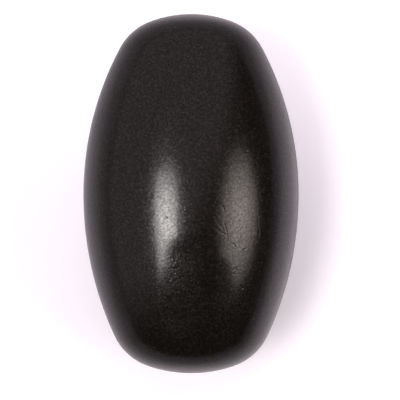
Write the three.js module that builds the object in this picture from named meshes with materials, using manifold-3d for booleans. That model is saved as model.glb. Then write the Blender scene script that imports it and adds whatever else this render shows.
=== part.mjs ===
// A basalt massage stone: one barrel-shaped pebble, polished all over, with domed ends
// and a small flat ground into its underside so that it lies still on a table.
//
// Millimetres. +Y runs along the stone, +X across it and +Z up. The origin is under the
// middle of the stone, on the plane it rests on.

import * as THREE from 'three';
import { mergeVertices } from 'three/addons/utils/BufferGeometryUtils.js';
import Module from 'manifold-3d';

// Overall sizes
const LENGTH = 90;
const WIDTH = 54;            // across the belly, its widest place
const THICKNESS = 48;        // from the resting flat to the top
const BELLY_OFFSET = 0.2;    // how far the belly lies from mid-length, towards -Y
const FLAT_DEPTH = 1.1;      // how deep the resting flat is ground into the round belly

// The two ends. The shoulder is where the side's arc and the dome's arc would meet if the
// corner between them weren't rounded, and the crown is how far the dome stands beyond it.
const UPPER_END = { shoulderWidth: 31.2, crown: 4.5, cornerRadius: 14.2 };
const LOWER_END = { shoulderWidth: 33.8, crown: 4.7, cornerRadius: 14.2 };

// Fineness of the facets
const STEPS_AROUND = 56;
const SIDE_STEPS = 6;
const CORNER_STEPS = 8;
const DOME_STEPS = 5;

// The round pebble's thickness before its underside is ground
const ROUND_THICKNESS = THICKNESS + FLAT_DEPTH;

const wasm = await Module();
wasm.setup();

// The radius of an arc that bends away from its first tangent by `sag` over `run`.
function arcRadius(run, sag) {
  return (run ** 2 + sag ** 2) / (2 * sag);
}

// The centre of the corner's arc, which touches the side's arc and the dome's arc from
// inside. Its distances to their centres are known, so it closes a triangle with them.
function cornerCentre(side, dome, radius) {
  const line = new THREE.Vector2().subVectors(dome.centre, side.centre);
  const apart = line.length();
  const toSide = side.radius - radius;
  const toDome = dome.radius - radius;
  const along = (apart ** 2 + toSide ** 2 - toDome ** 2) / (2 * apart);
  const off = Math.sqrt(toSide ** 2 - along ** 2);
  const unit = line.normalize();
  return new THREE.Vector2(
    side.centre.x + unit.x * along - unit.y * off,
    side.centre.y + unit.y * along + unit.x * off,
  );
}

function arcPoints({ centre, radius }, startAngle, endAngle, steps) {
  const arc = new THREE.EllipseCurve(centre.x, centre.y, radius, radius, startAngle, endAngle);
  return arc.getPoints(steps);
}

function angleFrom(centre, point) {
  return Math.atan2(point.y - centre.y, point.x - centre.x);
}

// Half of the lengthwise outline, from the belly at y = 0 to the tip on the axis:
// a long side arc, a tight corner arc and the dome of the end, each tangent to the next.
function halfOutline(reach, end) {
  const shoulder = new THREE.Vector2(end.shoulderWidth / 2, reach - end.crown);
  const sideRadius = arcRadius(shoulder.y, WIDTH / 2 - shoulder.x);
  const domeRadius = arcRadius(shoulder.x, end.crown);
  const side = { centre: new THREE.Vector2(WIDTH / 2 - sideRadius, 0), radius: sideRadius };
  const dome = { centre: new THREE.Vector2(0, reach - domeRadius), radius: domeRadius };
  const corner = {
    centre: cornerCentre(side, dome, end.cornerRadius),
    radius: end.cornerRadius,
  };
  const sideAngle = angleFrom(side.centre, corner.centre);
  const domeAngle = angleFrom(dome.centre, corner.centre);
  return [
    ...arcPoints(side, 0, sideAngle, SIDE_STEPS),
    ...arcPoints(corner, sideAngle, domeAngle, CORNER_STEPS).slice(1),
    ...arcPoints(dome, domeAngle, Math.PI / 2, DOME_STEPS).slice(1, -1),
    new THREE.Vector2(0, reach),
  ];
}

// The whole outline from the lower tip to the upper tip, with both tips on the axis.
function outline() {
  const upper = halfOutline(LENGTH / 2 + BELLY_OFFSET, UPPER_END);
  const lower = halfOutline(LENGTH / 2 - BELLY_OFFSET, LOWER_END);
  const mirrored = lower.map((point) => new THREE.Vector2(point.x, -point.y));
  return [...mirrored.reverse(), ...upper.slice(1)];
}

// A closed solid from a geometry. The triangles that a tip squeezes to a line are left out.
function solidOf(geometry) {
  geometry.deleteAttribute('normal');
  geometry.deleteAttribute('uv');
  const merged = mergeVertices(geometry);
  const corners = merged.index.array;
  const triangles = [];
  for (let i = 0; i < corners.length; i += 3) {
    const [a, b, c] = corners.slice(i, i + 3);
    if (a !== b && b !== c && c !== a) triangles.push(a, b, c);
  }
  return new wasm.Manifold(new wasm.Mesh({
    numProp: 3,
    vertProperties: new Float32Array(merged.attributes.position.array),
    triVerts: new Uint32Array(triangles),
  }));
}

function geometryOf(solid) {
  const mesh = solid.getMesh();
  const geometry = new THREE.BufferGeometry();
  geometry.setAttribute('position', new THREE.BufferAttribute(mesh.vertProperties, 3));
  geometry.setIndex(new THREE.BufferAttribute(mesh.triVerts, 1));
  geometry.computeVertexNormals();
  return geometry;
}

// The round pebble: the outline turned about the long axis, then flattened from top to
// bottom and lifted until only the depth of the flat is below the table.
function pebble() {
  const geometry = new THREE.LatheGeometry(outline(), STEPS_AROUND);
  geometry.scale(1, 1, ROUND_THICKNESS / WIDTH);
  geometry.translate(0, -BELLY_OFFSET, ROUND_THICKNESS / 2 - FLAT_DEPTH);
  return solidOf(geometry);
}

// What the grinding takes away: everything below the table.
function groundAway() {
  const geometry = new THREE.BoxGeometry(2 * WIDTH, 2 * LENGTH, 2 * FLAT_DEPTH);
  geometry.translate(0, 0, -FLAT_DEPTH);
  return solidOf(geometry);
}

const polishedBasalt = new THREE.MeshStandardMaterial({
  color: 0x2b2725,
  roughness: 0.32,
  metalness: 0,
});

const stone = new THREE.Mesh(geometryOf(pebble().subtract(groundAway())), polishedBasalt);
stone.name = 'stone';

const massageStone = new THREE.Group();
massageStone.add(stone);

export default massageStone;
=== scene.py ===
# A basalt massage stone lying on a white table, seen from straight above.
# Metres, +Y along the stone, +X across it, +Z up, as in the CAD frame.

import math
from random import Random

import bpy
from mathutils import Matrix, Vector
from mathutils.kdtree import KDTree


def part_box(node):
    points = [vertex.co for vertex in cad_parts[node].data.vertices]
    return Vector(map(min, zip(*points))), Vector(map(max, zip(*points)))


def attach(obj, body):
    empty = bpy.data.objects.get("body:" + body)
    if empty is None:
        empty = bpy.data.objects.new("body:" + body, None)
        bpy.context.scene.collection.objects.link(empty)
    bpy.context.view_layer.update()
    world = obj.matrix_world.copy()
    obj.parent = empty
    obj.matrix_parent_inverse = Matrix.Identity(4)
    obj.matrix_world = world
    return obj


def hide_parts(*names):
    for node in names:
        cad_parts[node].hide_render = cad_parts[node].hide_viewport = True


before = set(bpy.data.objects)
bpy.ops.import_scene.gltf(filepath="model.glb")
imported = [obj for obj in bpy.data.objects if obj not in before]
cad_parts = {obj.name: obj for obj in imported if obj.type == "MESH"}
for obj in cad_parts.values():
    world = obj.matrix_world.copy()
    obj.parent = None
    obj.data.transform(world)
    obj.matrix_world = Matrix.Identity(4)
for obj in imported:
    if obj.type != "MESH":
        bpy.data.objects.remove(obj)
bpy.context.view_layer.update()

MM = 0.001


# ---- Camera -----------------------------------------------------------------------------
# A long lens on a stand looks straight down. The stone sits a little up and to the left
# of the middle of the frame, which takes in the framed width at the height of its middle.

stone_low, stone_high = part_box("stone")
stone_centre = (stone_low + stone_high) / 2

CAMERA_DISTANCE = 0.55
FRAMED_WIDTH = 100.2 * MM
AIM_OFFSET = (2.25 * MM, -1.6 * MM)

bpy.ops.object.camera_add(
    location=(
        stone_centre.x + AIM_OFFSET[0],
        stone_centre.y + AIM_OFFSET[1],
        stone_centre.z + CAMERA_DISTANCE,
    ),
    rotation=(0, 0, 0),
)
camera = bpy.context.object
camera.name = "camera"
camera.data.lens = camera.data.sensor_width * CAMERA_DISTANCE / FRAMED_WIDTH
bpy.context.scene.camera = camera


# ---- Stone ------------------------------------------------------------------------------
# One barrel-shaped pebble of dense basalt. It was tumbled and ground until its sides bow
# evenly into two domed ends, then polished all over, and a small flat was ground
# underneath so that it doesn't roll.

BELLY_OFFSET = 0.2 * MM
FLAT_DEPTH = 1.1 * MM
UPPER_END = {"shoulder_width": 31.2 * MM, "crown": 4.5 * MM, "corner_radius": 14.2 * MM}
LOWER_END = {"shoulder_width": 33.8 * MM, "crown": 4.7 * MM, "corner_radius": 14.2 * MM}

length = stone_high.y - stone_low.y
width = stone_high.x - stone_low.x
thickness = stone_high.z - stone_low.z
round_thickness = thickness + FLAT_DEPTH


def arc_radius(run, sag):
    return (run**2 + sag**2) / (2 * sag)


def end_arcs(reach, end):
    """The side, corner and dome arcs of one end, each as its centre, radius and the angle
    where the next one takes over. All three touch their neighbours without a kink."""
    shoulder_x = end["shoulder_width"] / 2
    shoulder_y = reach - end["crown"]
    side_radius = arc_radius(shoulder_y, width / 2 - shoulder_x)
    dome_radius = arc_radius(shoulder_x, end["crown"])
    side = Vector((width / 2 - side_radius, 0))
    dome = Vector((0, reach - dome_radius))
    to_side = side_radius - end["corner_radius"]
    to_dome = dome_radius - end["corner_radius"]
    line = dome - side
    along = (line.length**2 + to_side**2 - to_dome**2) / (2 * line.length)
    off = math.sqrt(to_side**2 - along**2)
    unit = line.normalized()
    corner = side + unit * along + Vector((-unit.y, unit.x)) * off
    side_end = math.atan2(corner.y - side.y, corner.x - side.x)
    corner_end = math.atan2(corner.y - dome.y, corner.x - dome.x)
    return [
        (side, side_radius, 0, side_end),
        (corner, end["corner_radius"], side_end, corner_end),
        (dome, dome_radius, corner_end, math.pi / 2),
    ]


OUTLINE_STEP = 0.6 * MM


def spin_arc(centre, radius, turn):
    """Draws the outline on round the centre from its last point, clockwise by turn."""
    steps = max(1, round(radius * turn / OUTLINE_STEP))
    bpy.ops.mesh.spin(steps=steps, angle=turn, center=(*centre, 0), axis=(0, 0, 1))


upper_arcs = end_arcs(length / 2 + BELLY_OFFSET, UPPER_END)
lower_arcs = end_arcs(length / 2 - BELLY_OFFSET, LOWER_END)

# The outline runs from the upper tip round the belly to the lower tip.
bpy.ops.object.select_all(action="DESELECT")
bpy.ops.mesh.primitive_plane_add(size=MM, location=(0, length / 2 + BELLY_OFFSET, 0))
stone = bpy.context.object
stone.name = "basalt_stone"
bpy.ops.object.mode_set(mode="EDIT")
bpy.ops.mesh.merge(type="CENTER")
for centre, radius, start, end in reversed(upper_arcs):
    spin_arc(centre, radius, end - start)
for centre, radius, start, end in lower_arcs:
    spin_arc(Vector((centre.x, -centre.y)), radius, end - start)

# Turned about the long axis, then flattened, lifted to its place and ground underneath.
TURN_STEPS = 288
MERGE_DISTANCE = 0.01 * MM
CUT_TOLERANCE = 0.001 * MM
bpy.ops.mesh.select_all(action="SELECT")
bpy.ops.mesh.spin(steps=TURN_STEPS, angle=2 * math.pi, center=(0, 0, 0), axis=(0, 1, 0))
bpy.ops.mesh.select_all(action="SELECT")
bpy.ops.mesh.remove_doubles(threshold=MERGE_DISTANCE)
bpy.ops.transform.resize(value=(1, 1, round_thickness / width), center_override=(0, 0, 0))
axis_height = stone_low.z + round_thickness / 2 - FLAT_DEPTH
bpy.ops.transform.translate(value=(0, -BELLY_OFFSET, axis_height))
bpy.ops.mesh.bisect(
    plane_co=(0, 0, stone_low.z),
    plane_no=(0, 0, -1),
    use_fill=True,
    clear_outer=True,
    threshold=CUT_TOLERANCE,
)
bpy.ops.mesh.select_all(action="SELECT")
bpy.ops.mesh.normals_make_consistent(inside=False)
bpy.ops.object.mode_set(mode="OBJECT")
bpy.ops.object.transform_apply(location=True, rotation=True, scale=True)


def apply_modifier(piece, kind, **settings):
    """Adds a modifier with its settings and applies it."""
    modifier = piece.modifiers.new(kind.lower(), kind)
    for name, value in settings.items():
        setattr(modifier, name, value)
    bpy.ops.object.modifier_apply(modifier=modifier.name)


# Tumbling wears every edge round, so the mesh is made even and its edges are relaxed.
MESH_STEP = 0.6 * MM
apply_modifier(stone, "REMESH", mode="VOXEL", voxel_size=MESH_STEP)
apply_modifier(stone, "SMOOTH", factor=0.5, iterations=12)

# Hand polishing leaves the surface faintly wavy, except on the flat, which a wheel ground.
WAVE_LENGTH = 15 * MM
WAVE_HEIGHT = 0.05 * MM
RIPPLE_LENGTH = 3.2 * MM
RIPPLE_HEIGHT = 0.012 * MM
FLAT_MARGIN = 3 * MM

domed = stone.vertex_groups.new(name="domed")
for vertex in stone.data.vertices:
    rise = min(1, (vertex.co.z - stone_low.z) / FLAT_MARGIN)
    domed.add([vertex.index], rise**2, "REPLACE")
for name, size, height in (
    ("waves", WAVE_LENGTH, WAVE_HEIGHT),
    ("ripples", RIPPLE_LENGTH, RIPPLE_HEIGHT),
):
    swell = bpy.data.textures.new(name, "CLOUDS")
    swell.noise_scale = size
    apply_modifier(
        stone,
        "DISPLACE",
        texture=swell,
        texture_coords="LOCAL",
        strength=height,
        vertex_group="domed",
    )

# Marks of use. A place on the stone is a turn round the long axis, in degrees from the top
# towards the right, and a distance along it in millimetres. A mark is a path of places, its
# half width and its depth, both in millimetres. A worn patch has in place of the depth the
# share of the full height that its coarse grain stands to.
HOLLOWS = [
    ([(-1.8, -16.3), (-4.5, -24), (-5, -29)], 7.5, 0.38),
    ([(16, -20), (17, -24)], 5.0, 0.15),
]
WORN_PATCHES = [
    ([(-6, -14), (-8, -18), (-10, -21.5)], 3.4, 1.0),
    ([(29, 4), (32, -4)], 3.4, 0.5),
]
MARKS = [
    # Pinholes and nicks.
    ([(-13.6, -5.8)], 0.36, 0.1),
    ([(-19.2, 18.3)], 0.4, 0.05),
    ([(28.4, -6.6)], 0.28, 0.07),
    ([(25.1, -12.2), (26.5, -12.6)], 0.26, 0.06),
    ([(32.0, -13.6), (33.0, -13.5)], 0.3, 0.09),
    ([(26.4, -18.6), (27.6, -18.1), (29.0, -18.6), (28.4, -19.1)], 0.26, 0.05),
    ([(26.4, -19.4), (28.2, -19.7), (29.8, -19.4)], 0.24, 0.03),
    ([(32.8, -22.4), (34.3, -23.0)], 0.34, 0.06),
    ([(32.6, 10.0), (34.4, 10.1)], 0.26, 0.04),
    # A fan of fine scratches on the right shoulder, and two fine ones that cross beside it.
    ([(14.4, -6.6), (16.8, -7.7), (19.3, -8.6)], 0.22, 0.05),
    ([(15.7, -8.8), (18.8, -9.6), (21.3, -10.3)], 0.22, 0.045),
    ([(19.2, -7.1), (20.4, -8.6), (21.3, -10.1)], 0.22, 0.035),
    ([(17.8, -3.0), (19.1, -4.1)], 0.26, 0.045),
    ([(13.1, -5.3), (15.5, -6.3), (17.4, -7.3)], 0.22, 0.03),
    ([(12.6, -7.6), (16.3, -9.3)], 0.22, 0.03),
    ([(28.6, -7.6), (33.1, -7.7), (37.1, -7.5)], 0.22, 0.02),
    ([(29.3, -8.1), (29.6, -10.1), (29.4, -12.0)], 0.24, 0.045),
    # Faint rubs further round, two on the right and three on the left.
    ([(40.3, -5.8), (40.3, -8.1)], 0.3, 0.018),
    ([(41.4, -8.8), (41.1, -10.8)], 0.3, 0.018),
    ([(-42.5, -22.3), (-40.0, -23.8)], 0.28, 0.02),
    ([(-46.0, -20.6), (-45.2, -22.0)], 0.26, 0.018),
    ([(-62.9, 30.7), (-61.5, 29.4)], 0.3, 0.025),
]

# Smaller ones are strewn by chance over the flanks and the underside.
STRAY_PITS = 26
STRAY_SCRATCHES = 9
SEED = 7

chance = Random(SEED)
strays = []
for _ in range(STRAY_PITS):
    spot = (chance.uniform(65, 295), chance.uniform(-37, 37))
    strays.append(([spot], chance.uniform(0.25, 0.4), chance.uniform(0.03, 0.07)))
for _ in range(STRAY_SCRATCHES):
    turn, along = chance.uniform(70, 290), chance.uniform(-32, 32)
    far_end = (turn + chance.uniform(-8, 8), along + chance.uniform(-5, 5))
    strays.append(([(turn, along), far_end], 0.26, chance.uniform(0.015, 0.03)))


def on_stone(turn, along):
    """The point of the surface at this turn and this distance along the stone."""
    way = Vector((math.sin(math.radians(turn)), 0, math.cos(math.radians(turn))))
    start = Vector((0, along * MM, axis_height)) + way * width
    return stone.ray_cast(start, -way)[1]


def followed(path, stray=0, step=0.15):
    """Points of the surface along a path, about a step in millimetres apart, each of which
    may stray from it a little, also in millimetres."""
    points = [on_stone(*path[0])]
    for start, end in zip(path, path[1:]):
        count = math.ceil((on_stone(*end) - on_stone(*start)).length / (step * MM))
        for share in (number / count for number in range(1, count + 1)):
            point = on_stone(*(a + (b - a) * share for a, b in zip(start, end)))
            point += Vector([chance.uniform(-stray, stray) * MM for _ in range(3)])
            points.append(point)
    return points


def tree_of(places):
    """A tree that finds the places near a point, each by its number in the list."""
    tree = KDTree(len(places))
    for index, place in enumerate(places):
        tree.insert(place, index)
    tree.balance()
    return tree


def depths_along(tree, points, half_width, depth, unevenness=0):
    """How deep each point near a mark lies: deepest on its path, running out smoothly. An
    uneven mark is shallower by up to that share from point to point."""
    depths = {}
    for point in points:
        here = depth * (1 - chance.uniform(0, unevenness))
        for _, index, distance in tree.find_range(point, half_width * MM):
            run_out = (1 - (distance / (half_width * MM)) ** 2) ** 2
            depths[index] = max(depths.get(index, 0), here * run_out)
    return depths


# The mesh is made finer round the marks first, as far out as faces touch them. The path of
# a pit or scratch strays by up to a tenth of a millimetre, and its depth varies by up to
# three quarters.
FINER_CUTS = 4
FACE_REACH = 0.6 * MESH_STEP / MM
MARK_STRAY = 0.1
MARK_UNEVENNESS = 0.75
bpy.context.view_layer.update()
marked = [(followed(path, MARK_STRAY), *size) for path, *size in MARKS + strays]
hollows = [(followed(path), *size) for path, *size in HOLLOWS]
worn_patches = [(followed(path), *size) for path, *size in WORN_PATCHES]
faces = tree_of([face.center for face in stone.data.polygons])
near_marks = set()
for points, half_width, depth in marked + worn_patches:
    near_marks.update(depths_along(faces, points, half_width + FACE_REACH, depth))
bpy.ops.object.mode_set(mode="EDIT")
bpy.ops.mesh.select_mode(type="FACE")
bpy.ops.mesh.select_all(action="DESELECT")
bpy.ops.object.mode_set(mode="OBJECT")
for index in near_marks:
    stone.data.polygons[index].select = True
bpy.ops.object.mode_set(mode="EDIT")
bpy.ops.mesh.subdivide(number_cuts=FINER_CUTS, smoothness=1)
bpy.ops.object.mode_set(mode="OBJECT")
apply_modifier(stone, "SMOOTH", factor=0.5, iterations=6)


def displace(name, depths, **settings):
    """Displaces the surface at these points: fully where they are deepest, and elsewhere in
    proportion to their depth."""
    deepest = max(depths.values())
    group = stone.vertex_groups.new(name=name)
    for index, depth in depths.items():
        group.add([index], depth / deepest, "REPLACE")
    apply_modifier(stone, "DISPLACE", vertex_group=name, **settings)


# Two broad shallow hollows, then coarse grain in the worn patches, then pits and scratches.
COARSE_GRAIN_SIZE = 0.5 * MM
COARSE_GRAIN_HEIGHT = 0.052 * MM
skin = tree_of([vertex.co for vertex in stone.data.vertices])
hollowing = {}
for hollow in hollows:
    for index, depth in depths_along(skin, *hollow).items():
        hollowing[index] = hollowing.get(index, 0) + depth
displace("hollows", hollowing, strength=-max(hollowing.values()) * MM, mid_level=0)
coarse_grain = bpy.data.textures.new("coarse_grain", "CLOUDS")
coarse_grain.noise_scale = COARSE_GRAIN_SIZE
wear = {}
for patch in worn_patches:
    wear.update(depths_along(skin, *patch))
displace(
    "worn_patches",
    wear,
    texture=coarse_grain,
    texture_coords="LOCAL",
    strength=COARSE_GRAIN_HEIGHT,
)
pitting = {}
for mark in marked:
    for index, depth in depths_along(skin, *mark, MARK_UNEVENNESS).items():
        pitting[index] = max(pitting.get(index, 0), depth)
displace("pitting", pitting, strength=-max(pitting.values()) * MM, mid_level=0)
bpy.ops.object.shade_smooth()

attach(stone, "root")
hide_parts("stone")


def linear(hex_colour):
    """A colour written as sRGB hex, such as "8a8f94", in the linear values nodes take."""
    values = [int(hex_colour[i : i + 2], 16) / 255 for i in (0, 2, 4)]
    return (*[v / 12.92 if v <= 0.04045 else ((v + 0.055) / 1.055) ** 2.4 for v in values], 1)


def add_node(tree, kind, inputs, **settings):
    """Adds a node with its settings. Each input takes a value or another node's output."""
    node = tree.nodes.new(kind)
    for name, value in settings.items():
        setattr(node, name, value)
    for name, value in inputs.items():
        if isinstance(value, bpy.types.NodeSocket):
            tree.links.new(value, node.inputs[name])
        else:
            node.inputs[name].default_value = value
    return node


# Basalt: fine black crystals with a few paler feldspar laths, ground and polished with a
# fine grit. It gives a soft, slightly grainy sheen over a nearly black body. Most of its
# crystals are finer than a tenth of a millimetre, too fine to show, so they are drawn at
# about half a millimetre.
basalt = bpy.data.materials.new("polished_basalt")
basalt.use_nodes = True
tree = basalt.node_tree
shader = tree.nodes["Principled BSDF"]
place = add_node(tree, "ShaderNodeTexCoord", {}).outputs["Object"]

# Body colour: clouds nearly a centimetre wide, and the paler crystals.
clouds = add_node(
    tree,
    "ShaderNodeTexNoise",
    {"Vector": place, "Scale": 1 / (9 * MM), "Detail": 3.0, "Roughness": 0.6},
)
body = add_node(
    tree,
    "ShaderNodeMixRGB",
    {"Fac": clouds.outputs["Fac"], "Color1": linear("0a0807"), "Color2": linear("110d09")},
)
crystals = add_node(
    tree,
    "ShaderNodeTexNoise",
    {"Vector": place, "Scale": 1 / (0.55 * MM), "Detail": 2.0, "Roughness": 0.6},
)
crystal_share = add_node(
    tree,
    "ShaderNodeMapRange",
    {"Value": crystals.outputs["Fac"], "From Min": 0.48, "From Max": 0.75, "To Max": 0.6},
)
speckled = add_node(
    tree,
    "ShaderNodeMixRGB",
    {
        "Fac": crystal_share.outputs["Result"],
        "Color1": body.outputs["Color"],
        "Color2": linear("2b2721"),
    },
)
tree.links.new(speckled.outputs["Color"], shader.inputs["Base Color"])

# Crystals of several minerals lie side by side, and each mirrors a little more or less.
mirroring = add_node(
    tree,
    "ShaderNodeMapRange",
    {
        "Value": crystals.outputs["Fac"],
        "From Min": 0.3,
        "From Max": 0.7,
        "To Min": 1.4,
        "To Max": 1.62,
    },
)
tree.links.new(mirroring.outputs["Result"], shader.inputs["IOR"])

# Polish: fine all over, duller in spots between the crystals.
dullness = add_node(
    tree,
    "ShaderNodeTexNoise",
    {"Vector": place, "Scale": 1 / (0.5 * MM), "Detail": 3.0, "Roughness": 0.65},
)
polish = add_node(
    tree,
    "ShaderNodeMapRange",
    {
        "Value": dullness.outputs["Fac"],
        "From Min": 0.4,
        "From Max": 0.68,
        "To Min": 0.15,
        "To Max": 0.28,
    },
)
tree.links.new(polish.outputs["Result"], shader.inputs["Roughness"])

# Surface: a leathery unevenness about a millimetre across, crystal grain, pinholes, and the
# faint lines that polishing left along the stone.
leather = add_node(
    tree,
    "ShaderNodeTexNoise",
    {"Vector": place, "Scale": 1 / (1.4 * MM), "Detail": 2.0, "Roughness": 0.5},
)
grain = add_node(
    tree,
    "ShaderNodeTexNoise",
    {"Vector": place, "Scale": 1 / (0.6 * MM), "Detail": 2.0, "Roughness": 0.6},
)
pinholes = add_node(
    tree,
    "ShaderNodeTexVoronoi",
    {"Vector": place, "Scale": 1 / (1.3 * MM), "Randomness": 1.0},
)
pinhole_depth = add_node(
    tree,
    "ShaderNodeMapRange",
    {"Value": pinholes.outputs["Distance"], "From Min": 0.04, "From Max": 0.13},
)
lengthwise = add_node(
    tree,
    "ShaderNodeMapping",
    {"Vector": place, "Scale": (1 / (0.5 * MM), 1 / (7 * MM), 1 / (0.5 * MM))},
)
polish_lines = add_node(
    tree,
    "ShaderNodeTexNoise",
    {"Vector": lengthwise.outputs["Vector"], "Scale": 1.0, "Detail": 2.0},
)
normal = None
for height, depth in (
    (leather.outputs["Fac"], 0.015 * MM),
    (grain.outputs["Fac"], 0.01 * MM),
    (pinhole_depth.outputs["Result"], 0.012 * MM),
    (polish_lines.outputs["Fac"], 0.003 * MM),
):
    inputs = {"Height": height, "Distance": depth}
    if normal:
        inputs["Normal"] = normal
    normal = add_node(tree, "ShaderNodeBump", inputs).outputs["Normal"]
tree.links.new(normal, shader.inputs["Normal"])
stone.data.materials.clear()
stone.data.materials.append(basalt)


# ---- Table ------------------------------------------------------------------------------
# A broad sheet of matt white board. Its colour carries painted shade: it is whitest beside
# the stone and greyer further out, in place of lamps that light it mostly round the stone, so
# that the stone's rims mirror a dim table. A glow that only the camera sees keeps it pale
# all over.

TABLE_SIZE = 6
RING_SQUASH = 1.5

bpy.ops.object.select_all(action="DESELECT")
bpy.ops.mesh.primitive_plane_add(size=TABLE_SIZE, location=(0, 0, stone_low.z))
table = bpy.context.object
table.name = "table"

board = bpy.data.materials.new("matt_white_board")
board.use_nodes = True
tree = board.node_tree
shader = tree.nodes["Principled BSDF"]
shader.inputs["Roughness"].default_value = 1.0
shader.inputs["Specular IOR Level"].default_value = 0
place = add_node(tree, "ShaderNodeTexCoord", {}).outputs["Object"]


def share_away(centre, near, far):
    """How far the board lies from a centre, given in millimetres: 0 near it to 1 far away.
    The rings round the centre are longer across the stone than along it."""
    shifted = add_node(
        tree,
        "ShaderNodeMapping",
        {
            "Vector": place,
            "Location": (-centre[0] * MM, -RING_SQUASH * centre[1] * MM, 0),
            "Scale": (1, RING_SQUASH, 1),
        },
    )
    distance = add_node(
        tree, "ShaderNodeVectorMath", {0: shifted.outputs["Vector"]}, operation="LENGTH"
    )
    share = add_node(
        tree,
        "ShaderNodeMapRange",
        {"Value": distance.outputs["Value"], "From Min": near * MM, "From Max": far * MM},
        interpolation_type="SMOOTHSTEP",
    )
    return share.outputs["Result"]


# Painted shade: the board's colour greys with distance from a point beside the stone, in
# place of light that falls mostly round the stone.
paper_with_painted_shade = add_node(
    tree,
    "ShaderNodeMixRGB",
    {
        "Fac": share_away(centre=(44, -16), near=20, far=210),
        "Color1": linear("f1edf3"),
        "Color2": linear("959397"),
    },
)
tree.links.new(paper_with_painted_shade.outputs["Color"], shader.inputs["Base Color"])
# Painted light: the board glows for the camera alone, faintest near the stone and stronger
# further out.
glow = add_node(
    tree,
    "ShaderNodeMapRange",
    {
        "Value": share_away(centre=(10, -15), near=15, far=130),
        "To Min": 0.27,
        "To Max": 0.7,
    },
)
seen_glow = add_node(
    tree,
    "ShaderNodeMath",
    {
        0: glow.outputs["Result"],
        1: add_node(tree, "ShaderNodeLightPath", {}).outputs["Is Camera Ray"],
    },
    operation="MULTIPLY",
)
shader.inputs["Emission Color"].default_value = linear("fff7ff")
tree.links.new(seen_glow.outputs["Value"], shader.inputs["Emission Strength"])
table.data.materials.append(board)


# ---- Lights -----------------------------------------------------------------------------
# Two softboxes above the stone, one each side, and a broad soft fill beyond its upper end.
# The stone mirrors each softbox as a soft bright band down its flank, but not the fill.

LIGHT_DISTANCE = 1.3


def add_light(name, direction, size, spread, watts, colour):
    """An area light that looks at the stone. Its direction is its lean across and its lean
    along the stone, in degrees from straight up, its size is in metres, and its spread is in
    degrees."""
    across, along = (math.radians(angle) for angle in direction)
    way = Vector((math.tan(across), math.tan(along), 1)).normalized()
    bpy.ops.object.light_add(type="AREA", location=stone_centre + way * LIGHT_DISTANCE)
    lamp = bpy.context.object
    lamp.name = name
    lamp.rotation_euler = (-math.atan(math.tan(along) * math.cos(across)), across, 0)
    lamp.data.shape = "RECTANGLE"
    lamp.data.size, lamp.data.size_y = size
    lamp.data.spread = math.radians(spread)
    lamp.data.energy = watts
    lamp.data.color = linear(colour)[:3]
    return lamp


add_light("left_softbox", (-24, -8.8), (0.5, 1.1), spread=39, watts=1.18, colour="fffaf8")
add_light("right_softbox", (49.5, -10.2), (1.1, 1.1), spread=46, watts=1.3, colour="fff3ed")
fill = add_light("fill", (-4, 45), (1.0, 1.0), spread=180, watts=7.2, colour="f7eeff")
fill.visible_glossy = False

# The room is bright beyond the upper left of the stone and dim elsewhere. The camera itself
# sees it as a pale backdrop beyond the table.
world = bpy.data.worlds.new("room")
bpy.context.scene.world = world
world.use_nodes = True
tree = world.node_tree
bright_way = Vector((-0.53, 0.69, 0.3)).normalized()
facing = add_node(
    tree,
    "ShaderNodeVectorMath",
    {0: add_node(tree, "ShaderNodeTexCoord", {}).outputs["Generated"], 1: bright_way},
    operation="DOT_PRODUCT",
)
brightness = add_node(
    tree,
    "ShaderNodeMapRange",
    {"Value": facing.outputs["Value"], "From Max": 0.35, "To Min": 0.03, "To Max": 0.41},
    interpolation_type="SMOOTHSTEP",
)
room = tree.nodes["Background"]
room.inputs["Color"].default_value = linear("fff2f7")
tree.links.new(brightness.outputs["Result"], room.inputs["Strength"])
backdrop = add_node(tree, "ShaderNodeBackground", {"Color": linear("f9f8f9")})
seen = add_node(
    tree,
    "ShaderNodeMixShader",
    {
        "Fac": add_node(tree, "ShaderNodeLightPath", {}).outputs["Is Camera Ray"],
        1: room.outputs["Background"],
        2: backdrop.outputs["Background"],
    },
)
tree.links.new(seen.outputs["Shader"], tree.nodes["World Output"].inputs["Surface"])

bpy.context.scene.view_settings.view_transform = "Standard"
